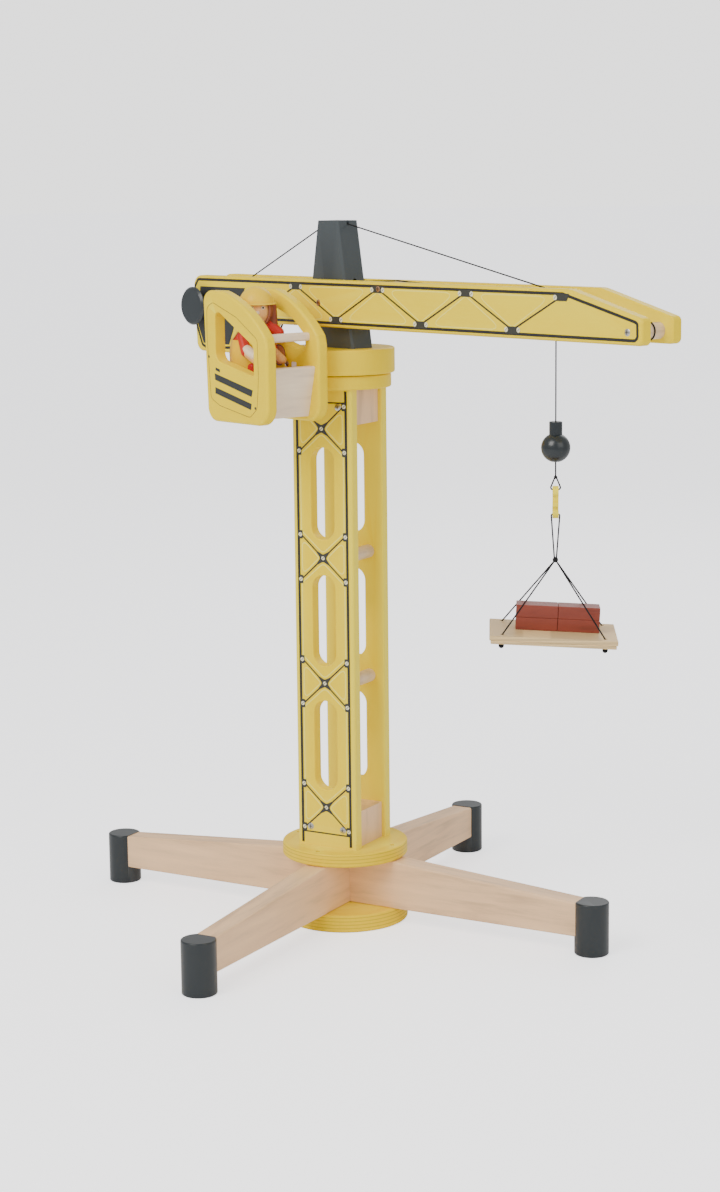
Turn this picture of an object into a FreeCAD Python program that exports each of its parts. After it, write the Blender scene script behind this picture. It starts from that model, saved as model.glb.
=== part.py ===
import FreeCAD, Part
import math
import os

# Toy tower crane in painted plywood, solid wood and cord. Millimetres, +Z up.
# Origin: on the ground under the middle of the base. +X: along the jib towards its tip. -Y: the cab side.

# Base
BASE_TURN = 20.5          # degrees, the legs and mast against the jib at rest
LEG_REACH = 225.0         # foot centre from the axis
LEG_THICK = 19.0
LEG_BOTTOM = 14.5
LEG_TIP_TOP = 42.5
LEG_ROOT_TOP = 55.0
LEG_FLAT = 45.0           # half length of the level stretch under the disc
LEG_END = 215.0
FOOT_RADIUS = 13.8
FOOT_HEIGHT = 43.0
DISC_RADIUS = 52.0
DISC_TOP = 66.0
LOWER_DISC_BOTTOM = 0.0
DISC_SCREW_REACH = 45.0

# Mast
MAST_WIDTH = 55.4
MAST_DEPTH = 60.0
MAST_PANEL = 10.0
MAST_TOP = 444.0
NODE_HEIGHTS = (99.5, 203.9, 307.3, 412.3)   # crossings of the lattice
SLOT_HALF_WIDTH = 10.6
SLOT_HALF_HEIGHT = 37.4
BLOCK_HALF = 24.5
BLOCK_HEIGHT = 29.0
CROSS_DOWEL_RADIUS = 5.5
CROSS_DOWEL_X = 14.0
CROSS_DOWEL_HEIGHTS = (203.0, 307.3)
MAST_SCREW_X = 15.3
MAST_SCREW_INSET = 14.0

# Slewing head
MAST_DISC_RADIUS = 42.0
MAST_DISC_TOP = 455.0
WASHER = 0.6
TURNTABLE_RADIUS = 45.0
TURNTABLE_TOP = 476.0
PIVOT_RADIUS = 4.0
RUNNING = 0.06            # radial clearance of a turning pin
HEAD_TOP = 577.0
HEAD_HALF_BOTTOM = 30.3
HEAD_HALF_TOP = 12.6
JIB_GAP = 22.0            # between the two jib panels, and the head block's thickness

# Jib
JIB_PANEL = 10.0
JIB_TOP = 530.5
JIB_BOTTOM = 493.0
JIB_TIP_X = 353.0
TAIL_X = -169.0
TAIL_BOTTOM = 466.5
TIP_DOWEL = (339.5, 502.2, 6.0)       # x, z, radius
GUIDE_DOWEL = (73.8, 525.1, 5.0)
SHEAVE_DOWEL = (242.7, 516.7, 5.0)
TAIL_DOWEL = (-139.2, 511.8, 5.0)
WINCH_X = -158.0
WINCH_Z = 505.0
WINCH_RADIUS = 6.0
KNOB_RADIUS = 16.0
KNOB_THICK = 9.5

# Cab
CAB_FAR = -44.5           # face against the turntable's rim
CAB_PANEL = 10.0
CAB_INSIDE = 41.0
CAB_BOTTOM = 421.3
CAB_TOP = 524.3
SEAT_TOP = 452.0

# Driver
DRIVER_X = -14.0
HEAD_X = -11.0
HEAD_Z = 508.0
HEAD_RADIUS = 11.8
HELMET_RADIUS = 13.6
HELMET_TOP = 527.0
BRIM_Z = 512.8

# Cord and load
CORD = 0.55               # radius
LAY = 0.57                # from a dowel's surface to the middle of a cord lying on it
HANG_X = SHEAVE_DOWEL[0] + SHEAVE_DOWEL[2] + LAY
HANG_Z = 505.0            # where the drop begins below the sheave dowel
NOTCH_FLOOR = 573.5
NOTCH_EDGE = 13.2
BALL_Z = 413.3
BALL_RADIUS = 10.8
BALL_FLAT_Z = 403.0
NECK_TOP = 432.6
NECK_RADIUS = 4.85
HOOK_TOP = 385.0
RING_KNOT_Z = 391.5
BOWL_Z = 362.9            # where the sling's loop turns over the hook
KNOT_Z = 330.0
PALLET_TOP = 277.3
PALLET_TURN = 46.8        # degrees, long side against the jib
PALLET_TILT = 2.8         # degrees, one short side hangs lower
PALLET_CENTRE = (247.5, -1.8)
PALLET = (94.0, 71.0, 3.5)
RUNNER = (92.0, 12.0, 2.6)
BRICK = (31.1, 19.0, 9.4)
BRICKS_MIDDLE = (3.2, 3.6)
HOLE = (38.0, 28.0)       # from the board's middle

os.makedirs("parts", exist_ok=True)
V = FreeCAD.Vector
UP = V(0, 0, 1)


# Shape helpers

def save(name, shape):
    shape.exportStep("parts/%s.step" % name)


def box(x, y, z):
    """A box from three (low, high) pairs."""
    return Part.makeBox(x[1] - x[0], y[1] - y[0], z[1] - z[0], V(x[0], y[0], z[0]))


def rod(radius, start, end):
    axis = end - start
    return Part.makeCylinder(radius, axis.Length, start, axis)


def cross_rod(radius, x, z, y0, y1):
    return rod(radius, V(x, y0, z), V(x, y1, z))


def ring(outer, inner, z0, z1):
    return rod(outer, V(0, 0, z0), V(0, 0, z1)).cut(rod(inner, V(0, 0, z0 - 1), V(0, 0, z1 + 1)))


def turned(shape, degrees):
    copy = shape.copy()
    copy.rotate(V(0, 0, 0), UP, degrees)
    return copy


def based(shape):
    """A shape of the base or mast, turned to where the base stands."""
    return turned(shape, BASE_TURN)


def group(shapes):
    return Part.makeCompound(shapes)


def rounded_wire(corners, y):
    """A closed outline in a plane of constant y, from (x, z, corner radius)."""
    count = len(corners)
    ends = []
    for i, (x, z, radius) in enumerate(corners):
        here = V(x, y, z)
        before = V(corners[i - 1][0], y, corners[i - 1][1]) - here
        after = V(corners[(i + 1) % count][0], y, corners[(i + 1) % count][1]) - here
        before.normalize()
        after.normalize()
        half = before.getAngle(after) / 2
        cut = radius / math.tan(half)
        middle = before + after
        middle.normalize()
        crown = here + middle * (radius / math.sin(half) - radius)
        ends.append((here + before * cut, crown, here + after * cut))
    edges = []
    for i, (start, crown, end) in enumerate(ends):
        edges.append(Part.Arc(start, crown, end).toShape())
        edges.append(Part.LineSegment(end, ends[(i + 1) % count][0]).toShape())
    return Part.Wire(edges)


def plate(corners, y0, y1):
    return Part.Face(rounded_wire(corners, y0)).extrude(V(0, y1 - y0, 0))


def edges_where(shape, test):
    return [edge for edge in shape.Edges if test(edge)]


def in_plane(value, axis):
    """True for edges that lie in the plane where x, y or z equals value."""
    low, high = ("XMin", "XMax") if axis == "x" else ("YMin", "YMax") if axis == "y" else ("ZMin", "ZMax")

    def test(edge):
        bounds = edge.BoundBox
        return abs(getattr(bounds, low) - value) < 0.01 and abs(getattr(bounds, high) - value) < 0.01

    return test


def soften(shape, radius, test):
    return shape.makeFillet(radius, edges_where(shape, test))


def soft_box(x, y, z, radius):
    solid = box(x, y, z)
    return solid.makeFillet(radius, solid.Edges)


def soft_disc(radius, z0, z1, edge):
    disc = rod(radius, V(0, 0, z0), V(0, 0, z1))
    rims = edges_where(disc, lambda e: in_plane(z0, "z")(e) or in_plane(z1, "z")(e))
    return disc.makeFillet(edge, rims)


def screw_axes(inward):
    axis = V(inward)
    axis.normalize()
    sideways = axis.cross(UP)
    return axis, sideways, axis.cross(sideways)


def screw_solid(screw):
    """A domed screw, its head's rim at `at` and its shank along `inward`."""
    at, inward, head, length = screw
    axis = screw_axes(inward)[0]
    dome_radius = head * 2.4
    dome_drop = dome_radius - math.sqrt(dome_radius ** 2 - head ** 2)
    cap = Part.makeSphere(dome_radius, at + axis * (dome_radius - dome_drop))
    cap = cap.common(rod(head, at - axis * head, at + axis * 0.2))
    return cap.fuse([rod(head, at, at + axis * 1.8), rod(1.5, at + axis * 1.7, at + axis * length)])


def cross_recessed(screw):
    """The same screw with the cross for the driver in its head."""
    at, inward, head, length = screw
    axis, sideways, across = screw_axes(inward)
    body = screw_solid(screw)
    for direction, other in ((sideways, across), (across, sideways)):
        ends = [direction * 1.6 + other * 0.32, direction * -1.6 + other * 0.32,
                direction * -1.6 - other * 0.32, direction * 1.6 - other * 0.32]
        points = [at + end - axis * 1.2 for end in ends]
        body = body.cut(Part.Face(Part.makePolygon(points + points[:1])).extrude(axis * 2.2))
    return body


def cut_for(shape, screws):
    for screw in screws:
        shape = shape.cut(screw_solid(screw))
    return shape


def sweep(edges, start, direction, name, radii):
    """A cord along joined lines and arcs; prints its length, arc radii and volume check."""
    path = Part.Wire(edges)
    section = Part.Wire([Part.Circle(start, direction, CORD).toShape()])
    solid = path.makePipeShell([section], True, False)
    ratio = solid.Volume / (math.pi * CORD ** 2 * path.Length)
    sizes = [round(radius, 2) for radius in radii]
    print("%s: length %.1f, arc radii %s, volume ratio %.4f" % (name, path.Length, sizes, ratio))
    return solid


def wrapped(stations, name):
    """A cord in the plane y = 0 pulled tight round (x, z, radius, turn); turn is 1 for left, -1 for right."""
    runs = []
    for (x0, z0, r0, t0), (x1, z1, r1, t1) in zip(stations, stations[1:]):
        dx, dz = x1 - x0, z1 - z0
        offset = t1 * r1 - t0 * r0
        span = dx ** 2 + dz ** 2
        run = math.sqrt(span - offset ** 2)
        ux = (run * dx + offset * dz) / span
        uz = (run * dz - offset * dx) / span
        begin = V(x0 + t0 * r0 * uz, 0, z0 - t0 * r0 * ux)
        runs.append((begin, begin + V(ux, 0, uz) * run))
    edges = [Part.LineSegment(*runs[0]).toShape()]
    for before, after, (x, z, radius, turn) in zip(runs, runs[1:], stations[1:]):
        centre = V(x, 0, z)
        first = math.atan2(before[1].z - z, before[1].x - x)
        last = math.atan2(after[0].z - z, after[0].x - x)
        middle = first + turn * ((last - first) * turn % (2 * math.pi)) / 2
        crown = centre + V(math.cos(middle), 0, math.sin(middle)) * radius
        edges.append(Part.Arc(before[1], crown, after[0]).toShape())
        edges.append(Part.LineSegment(*after).toShape())
    start, end = runs[0]
    return sweep(edges, start, end - start, name, [station[2] for station in stations[1:-1]])


def bent(start, corner, end, radius, name):
    """A cord of two straight runs joined by one arc."""
    before = start - corner
    after = end - corner
    before.normalize()
    after.normalize()
    half = before.getAngle(after) / 2
    cut = radius / math.tan(half)
    middle = before + after
    middle.normalize()
    crown = corner + middle * (radius / math.sin(half) - radius)
    first, last = corner + before * cut, corner + after * cut
    edges = [Part.LineSegment(start, first).toShape(), Part.Arc(first, crown, last).toShape(),
             Part.LineSegment(last, end).toShape()]
    return sweep(edges, start, corner - start, name, [radius])


# Base

def leg_beam(lap_top):
    """One of the two crossing beams, along x, halved where the other crosses it."""
    side = [(-LEG_END, LEG_BOTTOM), (LEG_END, LEG_BOTTOM), (LEG_END, LEG_TIP_TOP),
            (LEG_FLAT, LEG_ROOT_TOP), (-LEG_FLAT, LEG_ROOT_TOP), (-LEG_END, LEG_TIP_TOP)]
    half = LEG_THICK / 2
    points = [V(x, -half, z) for x, z in side]
    beam = Part.Face(Part.makePolygon(points + points[:1])).extrude(V(0, LEG_THICK, 0))
    beam = soften(beam, 1.5, lambda e: e.BoundBox.YLength < 0.01 and e.BoundBox.ZLength < LEG_THICK)
    middle = (LEG_BOTTOM + LEG_ROOT_TOP) / 2
    lap = (middle, LEG_ROOT_TOP + 1) if lap_top else (LEG_BOTTOM - 1, middle)
    beam = beam.cut(box((-half, half), (-half - 1, half + 1), lap))
    for side_x in (-1, 1):
        beam = beam.cut(foot_dowel(side_x))
    return beam


def foot_dowel(side_x):
    return rod(4.0, V(side_x * 195.0, 0, 28.0), V(side_x * 228.0, 0, 28.0))


def foot_cap():
    """A round foot at +x, stepped so that the beam's end stands in it."""
    foot = soft_disc(FOOT_RADIUS, 0, FOOT_HEIGHT, 1.2)
    foot.translate(V(LEG_REACH, 0, 0))
    foot = foot.cut(box((LEG_END - 20, LEG_END), (-20, 20), (LEG_BOTTOM, FOOT_HEIGHT + 1)))
    return foot.cut(foot_dowel(1))


def disc_screw(top, depth):
    return rod(1.8, V(DISC_SCREW_REACH, 0, top), V(DISC_SCREW_REACH, 0, depth))


def base_disc(z0, z1, screw):
    disc = soft_disc(DISC_RADIUS, z0, z1, 1.4)
    for quarter in range(4):
        disc = disc.cut(turned(screw, quarter * 90))
    return disc


def make_base():
    upper_well = rod(1.9, V(DISC_SCREW_REACH, 0, DISC_TOP - 12), V(DISC_SCREW_REACH, 0, DISC_TOP + 1))
    lower_well = rod(1.9, V(DISC_SCREW_REACH, 0, LOWER_DISC_BOTTOM - 1), V(DISC_SCREW_REACH, 0, LEG_BOTTOM + 1))
    upper = base_disc(LEG_ROOT_TOP, DISC_TOP, upper_well)
    lower = base_disc(LOWER_DISC_BOTTOM, LEG_BOTTOM, lower_well)
    upper_screw = disc_screw(DISC_TOP - 3.5, 38.0)
    lower_screw = disc_screw(LOWER_DISC_BOTTOM + 2, 32.0)
    beam_a = leg_beam(True)
    beam_b = turned(leg_beam(False), 90)
    for quarter in range(4):
        beam_a = beam_a.cut(turned(upper_screw, quarter * 90)).cut(turned(lower_screw, quarter * 90))
        beam_b = beam_b.cut(turned(upper_screw, quarter * 90)).cut(turned(lower_screw, quarter * 90))
        save("foot_cap_%d" % (quarter + 1), based(turned(foot_cap(), quarter * 90)))
    save("leg_beam_a", based(beam_a))
    save("leg_beam_b", based(beam_b))
    save("base_disc_upper", based(upper))
    save("base_disc_lower", based(lower))
    quarters = [quarter * 90 for quarter in range(4)]
    save("base_disc_screws", based(group([turned(s, q) for s in (upper_screw, lower_screw) for q in quarters])))
    save("foot_dowels", based(group([turned(foot_dowel(1), q) for q in quarters])))


# Mast (drawn with its near panel facing -Y, then turned with the base)

def mast_screws():
    heights = (DISC_TOP + MAST_SCREW_INSET + 1.8, MAST_TOP - MAST_SCREW_INSET + 0.2)
    face = MAST_DEPTH / 2
    spots = [(x, z) for x in (-MAST_SCREW_X, MAST_SCREW_X) for z in heights]
    near = [(V(x, -face, z), V(0, 1, 0), 2.9, 22.0) for x, z in spots]
    far = [(V(x, face, z), V(0, -1, 0), 2.9, 22.0) for x, z in spots]
    return near + far


def cross_dowels():
    reach = MAST_DEPTH / 2 - MAST_PANEL + 6
    spots = [(x, z) for x in (-CROSS_DOWEL_X, CROSS_DOWEL_X) for z in CROSS_DOWEL_HEIGHTS]
    return [cross_rod(CROSS_DOWEL_RADIUS, x, z, -reach, reach) for x, z in spots]


def mast_panel(side, screws, dowels):
    """A slotted panel; side is -1 for the near one and 1 for the far one."""
    outer = side * MAST_DEPTH / 2
    inner = outer - side * MAST_PANEL
    half = MAST_WIDTH / 2
    panel = box((-half, half), sorted((outer, inner)), (DISC_TOP, MAST_TOP))
    for low, high in zip(NODE_HEIGHTS, NODE_HEIGHTS[1:]):
        middle = (low + high) / 2
        corner = SLOT_HALF_WIDTH - 0.01
        bottom = middle - SLOT_HALF_HEIGHT
        top = middle + SLOT_HALF_HEIGHT
        slot = [(-SLOT_HALF_WIDTH, bottom, corner), (SLOT_HALF_WIDTH, bottom, corner),
                (SLOT_HALF_WIDTH, top, corner), (-SLOT_HALF_WIDTH, top, corner)]
        panel = panel.cut(plate(slot, outer + side, inner - side))

    def in_slot(edge):
        return in_plane(outer, "y")(edge) and abs(edge.CenterOfMass.x) < half - 5 and edge.BoundBox.XLength < 30

    def upright(edge):
        return edge.BoundBox.ZLength > 300

    panel = soften(panel, 1.0, in_slot)
    panel = soften(panel, 2.6, lambda e: upright(e) and in_plane(outer, "y")(e))
    panel = soften(panel, 1.2, lambda e: upright(e) and in_plane(inner, "y")(e))
    for dowel in dowels:
        panel = panel.cut(dowel)
    return cut_for(panel, screws)


def mast_block(z0, z1, screws):
    depth = MAST_DEPTH / 2 - MAST_PANEL
    block = box((-BLOCK_HALF, BLOCK_HALF), (-depth, depth), (z0, z1))
    block = soften(block, 0.8, lambda e: e.BoundBox.ZLength > 20)
    return cut_for(block, screws)


def slew_pivot():
    """The pin the head turns on: flange under the top block, shank up into the head block."""
    under = MAST_TOP - BLOCK_HEIGHT
    return rod(8.0, V(0, 0, under), V(0, 0, under + 4)).fuse(rod(PIVOT_RADIUS, V(0, 0, under), V(0, 0, 505.0)))


def make_mast():
    screws = mast_screws()
    dowels = cross_dowels()
    save("mast_panel_near", based(mast_panel(-1, screws, dowels)))
    save("mast_panel_far", based(mast_panel(1, screws, dowels)))
    save("mast_block_bottom", based(mast_block(DISC_TOP, DISC_TOP + BLOCK_HEIGHT + 0.8, screws)))
    save("mast_block_top", based(mast_block(MAST_TOP - BLOCK_HEIGHT, MAST_TOP, screws).cut(slew_pivot())))
    save("mast_dowels", based(group(dowels)))
    save("mast_screws", based(group([cross_recessed(screw) for screw in screws])))
    save("mast_top_disc", soft_disc(MAST_DISC_RADIUS, MAST_TOP, MAST_DISC_TOP, 1.4).cut(slew_pivot()))
    save("slew_pivot", slew_pivot())
    save("slew_washer", ring(13.0, PIVOT_RADIUS, MAST_DISC_TOP, MAST_DISC_TOP + WASHER))


# Head, jib and winch

def pivot_bore():
    return rod(PIVOT_RADIUS + RUNNING, V(0, 0, 400), V(0, 0, 506))


def line_hole():
    """The slanting hole that the hoist line takes through the head block."""
    return rod(2.0, V(-40.0, 0, 526.3), V(40.0, 0, 530.1))


def head_block(screws):
    half = JIB_GAP / 2
    side = [(-HEAD_HALF_BOTTOM, TURNTABLE_TOP), (HEAD_HALF_BOTTOM, TURNTABLE_TOP),
            (HEAD_HALF_TOP, HEAD_TOP), (-HEAD_HALF_TOP, HEAD_TOP)]
    points = [V(x, -half, z) for x, z in side]
    block = Part.Face(Part.makePolygon(points + points[:1])).extrude(V(0, JIB_GAP, 0))
    uprights = edges_where(block, lambda e: e.BoundBox.ZLength > 50)
    block = block.makeChamfer(1.7, uprights)
    block = soften(block, 0.6, in_plane(HEAD_TOP, "z"))
    block = block.cut(box((-30, 30), (-1.2, 1.2), (NOTCH_FLOOR, HEAD_TOP + 1)))
    return cut_for(block.cut(line_hole()).cut(pivot_bore()), screws)


def turntable(screw):
    disc = soft_disc(TURNTABLE_RADIUS, MAST_DISC_TOP + WASHER, TURNTABLE_TOP, 1.6)
    disc = disc.cut(box((-30, 30), (-60, CAB_FAR), (440, 480)))
    return cut_for(disc.cut(pivot_bore()), [screw])


def jib_outline():
    return [(TAIL_X, JIB_TOP, 9.0), (-165.5, TAIL_BOTTOM, 8.0), (-116.0, TAIL_BOTTOM, 8.0),
            (-97.0, JIB_BOTTOM, 8.0), (JIB_TIP_X, JIB_BOTTOM, 4.0), (JIB_TIP_X, 512.0, 4.0),
            (281.0, JIB_TOP, 14.0)]


def jib_panel(side, screws):
    inner = side * JIB_GAP / 2
    outer = inner + side * JIB_PANEL
    panel = plate(jib_outline(), inner, outer)
    panel = soften(panel, 2.6, in_plane(outer, "y"))
    panel = soften(panel, 1.2, in_plane(inner, "y"))
    panel = cut_for(panel, screws)
    for x, z, radius in (SHEAVE_DOWEL, TAIL_DOWEL):
        panel = panel.cut(spacer_dowel(x, z, radius, 5.0))
    return panel.cut(cross_rod(WINCH_RADIUS + RUNNING, WINCH_X, WINCH_Z, -30, 30))


def spacer_dowel(x, z, radius, tenon=0.0):
    reach = JIB_GAP / 2 + tenon
    return cross_rod(radius, x, z, -reach, reach)


def jib_screw_pair(x, z, length):
    face = JIB_GAP / 2 + JIB_PANEL
    return [(V(x, -face, z), V(0, 1, 0), 2.7, length), (V(x, face, z), V(0, -1, 0), 2.7, length)]


def make_jib():
    tip = jib_screw_pair(TIP_DOWEL[0], TIP_DOWEL[1], 18.0)
    guide = jib_screw_pair(GUIDE_DOWEL[0], GUIDE_DOWEL[1], 18.0)
    head = jib_screw_pair(0.0, 512.2, 19.0)
    screws = tip + guide + head
    save("jib_panel_near", jib_panel(-1, screws))
    save("jib_panel_far", jib_panel(1, screws))
    save("jib_tip_dowel", cut_for(spacer_dowel(*TIP_DOWEL), tip))
    save("jib_guide_dowel", cut_for(spacer_dowel(*GUIDE_DOWEL), guide))
    save("hoist_sheave_dowel", spacer_dowel(*SHEAVE_DOWEL, tenon=5.0))
    save("jib_tail_dowel", spacer_dowel(*TAIL_DOWEL, tenon=5.0))
    save("jib_tip_screws", group([cross_recessed(screw) for screw in tip]))
    save("jib_screws", group([cross_recessed(screw) for screw in guide + head]))
    save("head_block", head_block(head))


def winch_knob():
    """A turned knob: a bevelled face, its widest rim just behind it, tapering to a hub."""
    back = -(JIB_GAP / 2 + JIB_PANEL + 0.8)
    front = back - KNOB_THICK
    profile = [V(0, front, 0), V(KNOB_RADIUS - 1.6, front, 0), V(KNOB_RADIUS, front + 1.6, 0),
               V(KNOB_RADIUS, front + 2.6, 0), V(9.5, back, 0), V(0, back, 0)]
    face = Part.Face(Part.makePolygon(profile + profile[:1]))
    knob = face.revolve(V(0, 0, 0), V(0, 1, 0), 360)
    knob.translate(V(WINCH_X, 0, WINCH_Z))
    return knob.cut(winch_axle())


def winch_axle():
    return cross_rod(WINCH_RADIUS, WINCH_X, WINCH_Z, -27.0, 24.0)


def make_winch():
    far = JIB_GAP / 2 + JIB_PANEL + 0.8
    cap = cross_rod(9.5, WINCH_X, WINCH_Z, far, far + 5.0)
    cap = soften(cap, 1.2, in_plane(far + 5.0, "y")).cut(winch_axle())
    save("winch_knob", winch_knob())
    save("winch_axle", winch_axle())
    save("winch_end_cap", cap)


# Cords

def knot(at, radius):
    return Part.makeSphere(radius, at)


def around(dowel, turn):
    """A cord lying on a dowel."""
    x, z, radius = dowel
    return (x, z, radius + LAY, turn)


def saddle(side):
    """Where the stay bends over one end of the notch in the head block."""
    lean = math.radians(12.0 if side < 0 else 5.7)
    reach = 5.0 - LAY
    edge = side * NOTCH_EDGE
    return (edge - side * reach * math.sin(lean), NOTCH_FLOOR - reach * math.cos(lean), 5.0, -1)


def stay_line():
    """The tie over the head block, looped and knotted round the tail dowel and the tip dowel."""
    tail_knot = V(-131.6, 0, 521.5)
    tip_knot = V(331.2, 0, 510.9)
    stations = [(tail_knot.x, tail_knot.z, 0, 1), around(TAIL_DOWEL, -1), saddle(-1), saddle(1),
                around(TIP_DOWEL, -1), (tip_knot.x, tip_knot.z, 0, 1)]
    line = wrapped(stations, "stay_line")
    return line.fuse([knot(tail_knot, 1.5), knot(tip_knot, 1.5)])


def hoist_line_run():
    """From the winch's underside through the head block, over the guide dowel and the sheave dowel."""
    drum = (WINCH_X, WINCH_Z, WINCH_RADIUS + LAY, 1)
    bend = (-21.0, 467.2, 60.0, -1)
    stations = [(WINCH_X - WINCH_RADIUS - LAY, WINCH_Z + 1.0, 0, 1), drum, bend,
                around(GUIDE_DOWEL, -1), around(SHEAVE_DOWEL, -1), (HANG_X, HANG_Z, 0, 1)]
    return wrapped(stations, "hoist_line_run")


def hoist_line_turns():
    """Turns of line wound on the axle, either side of the one that leaves it."""
    turns = []
    for side in (-1, 1):
        for i in range(4):
            ring = Part.makeTorus(WINCH_RADIUS + LAY, CORD, V(0, side * (1.2 + 1.15 * i), 0), V(0, 1, 0))
            ring.translate(V(WINCH_X, 0, WINCH_Z))
            turns.append(ring)
    return group(turns)


def hook_turned(shape):
    """A shape drawn in the plane y = 0 about the hook's axis, turned with the pallet and moved to the hook."""
    copy = turned(shape, PALLET_TURN)
    copy.translate(V(HANG_X, 0, 0))
    return copy


def hung(shape):
    """A shape drawn on a level pallet at the origin, tilted, turned and hung under the jib."""
    copy = shape.copy()
    copy.rotate(V(0, 0, PALLET_TOP), V(0, 1, 0), PALLET_TILT)
    copy.rotate(V(0, 0, 0), UP, PALLET_TURN)
    copy.translate(V(PALLET_CENTRE[0], PALLET_CENTRE[1], 0))
    return copy


def hung_point(x, y, z):
    return hung(Part.Vertex(V(x, y, z))).Point


def sling():
    """The loop on the hook, its knot, four legs and the stopper knots under the pallet."""
    loop = [(-0.7, KNOT_Z, 0, 1), (-2.0, BOWL_Z, 1.1, -1), (2.0, BOWL_Z, 1.1, -1), (0.7, KNOT_Z, 0, 1)]
    start = V(HANG_X, 0, KNOT_Z)
    pieces = [knot(start, 2.1)]
    for side_x in (-1, 1):
        for side_y in (-1, 1):
            x, y = side_x * HOLE[0], side_y * HOLE[1]
            under = hung_point(x, y, PALLET_TOP - PALLET[2] - RUNNER[2] - 2.1)
            pieces.append(bent(start, hung_point(x, y, PALLET_TOP - 0.6), under, 1.5, "sling leg"))
            pieces.append(knot(under, 2.05))
    return hook_turned(wrapped(loop, "sling loop")).fuse(pieces)


def hook_cord():
    """The short cord under the ball and the ring of it through the hook's eye."""
    ring = [(-0.5, RING_KNOT_Z, 0, 1), (-1.9, HOOK_TOP - 1.1, 1.6, 1), (1.9, HOOK_TOP - 1.1, 1.6, 1),
            (0.5, RING_KNOT_Z, 0, 1)]
    top = V(HANG_X, 0, BALL_FLAT_Z)
    cord = rod(CORD, V(HANG_X, 0, RING_KNOT_Z), top)
    return cord.fuse([hook_turned(wrapped(ring, "hook cord ring")), knot(V(HANG_X, 0, RING_KNOT_Z), 1.3)])


def make_cords():
    save("stay_line", stay_line())
    save("hoist_line_run", hoist_line_run())
    save("hoist_line_turns", hoist_line_turns())
    save("hoist_line_drop", rod(CORD, V(HANG_X, 0, NECK_TOP), V(HANG_X, 0, HANG_Z)))
    save("hook_cord", hook_cord())
    save("sling", sling())


# Hook and load

def ball_weight():
    ball = Part.makeSphere(BALL_RADIUS, V(HANG_X, 0, BALL_Z))
    neck = rod(NECK_RADIUS, V(HANG_X, 0, BALL_Z), V(HANG_X, 0, NECK_TOP))
    weight = soften(ball.fuse(neck), 0.6, in_plane(NECK_TOP, "z"))
    return weight.cut(rod(8.0, V(HANG_X, 0, BALL_Z - 20), V(HANG_X, 0, BALL_FLAT_Z)))


def crane_hook():
    """A flat hook: an eye at the top, a shank and a bowl open to one side."""
    eye_z = HOOK_TOP - 4.0
    bowl_z = HOOK_TOP - 18.2
    half = 2.2

    def disc(radius, x, z):
        return cross_rod(radius, x, z, -half, half)

    outer = disc(4.0, 0, eye_z).fuse([disc(5.8, 0, bowl_z), box((-2.2, 1.4), (-half, half), (bowl_z + 4, eye_z))])
    mouth = box((1.4, 9.0), (-half - 1, half + 1), (bowl_z + 0.6, bowl_z + 6.2))
    hook = outer.cut(disc(1.9, 0, eye_z)).cut(disc(3.4, 0, bowl_z)).cut(mouth)
    return hook_turned(turned(hook, -90))


def sling_holes():
    corners = [(x, y) for x in (-HOLE[0], HOLE[0]) for y in (-HOLE[1], HOLE[1])]
    return [rod(1.5, V(x, y, PALLET_TOP - 20), V(x, y, PALLET_TOP + 20)) for x, y in corners]


def pallet_strip(length, depth, top, height):
    strip = soft_box((-length / 2, length / 2), depth, (top - height, top), 0.5)
    for hole in sling_holes():
        strip = strip.cut(hole)
    return hung(strip)


def make_load():
    length, width, height = PALLET
    runner_length, runner_width, runner_height = RUNNER
    edge = width / 2
    under = PALLET_TOP - height
    save("ball_weight", ball_weight())
    save("crane_hook", crane_hook())
    save("pallet_board", pallet_strip(length, (-edge, edge), PALLET_TOP, height))
    front = pallet_strip(runner_length, (-edge, runner_width - edge), under, runner_height)
    back = pallet_strip(runner_length, (edge - runner_width, edge), under, runner_height)
    save("pallet_runners", group([front, back]))
    count = 0
    for column in (-1, 0):
        for row in (0, 1):
            count += 1
            x0 = BRICKS_MIDDLE[0] + column * BRICK[0] + 0.1
            y0 = BRICKS_MIDDLE[1] - BRICK[1] / 2
            z0 = PALLET_TOP + row * BRICK[2]
            brick = soft_box((x0, x0 + BRICK[0] - 0.2), (y0, y0 + BRICK[1]), (z0, z0 + BRICK[2]), 0.5)
            save("brick_%d" % count, hung(brick))


# Cab and driver

def cab_wire(y):
    """The side of the cab: upright back, long curved slope to the front, rounded bottom corners."""
    points = [V(x, y, z) for x, z in (
        (-40.8, 514.0), (-38.2, 521.4), (-31.0, CAB_TOP), (-17.0, CAB_TOP), (16.5, 509.4), (38.6, 489.5),
        (40.6, 482.0), (40.6, 436.0), (36.6, 425.6), (26.0, CAB_BOTTOM), (-26.0, CAB_BOTTOM),
        (-34.2, 424.6), (-37.6, 433.0))]
    edges = [
        Part.Arc(points[0], points[1], points[2]).toShape(),
        Part.LineSegment(points[2], points[3]).toShape(),
        Part.Arc(points[3], points[4], points[5]).toShape(),
        Part.LineSegment(points[5], points[6]).toShape(),
        Part.LineSegment(points[6], points[7]).toShape(),
        Part.Arc(points[7], points[8], points[9]).toShape(),
        Part.LineSegment(points[9], points[10]).toShape(),
        Part.Arc(points[10], points[11], points[12]).toShape(),
        Part.LineSegment(points[12], points[0]).toShape(),
    ]
    return Part.Wire(edges)


NEAR_WINDOW = [(-25.2, 510.3, 4.0), (-25.2, 470.2, 8.0), (23.4, 459.3, 2.0), (23.4, 482.6, 5.0)]
FAR_WINDOW = [(-24.4, 513.5, 6.0), (-24.4, 488.0, 4.0), (24.0, 476.0, 2.5), (24.0, 488.5, 4.0), (8.0, 502.0, 30.0)]


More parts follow.
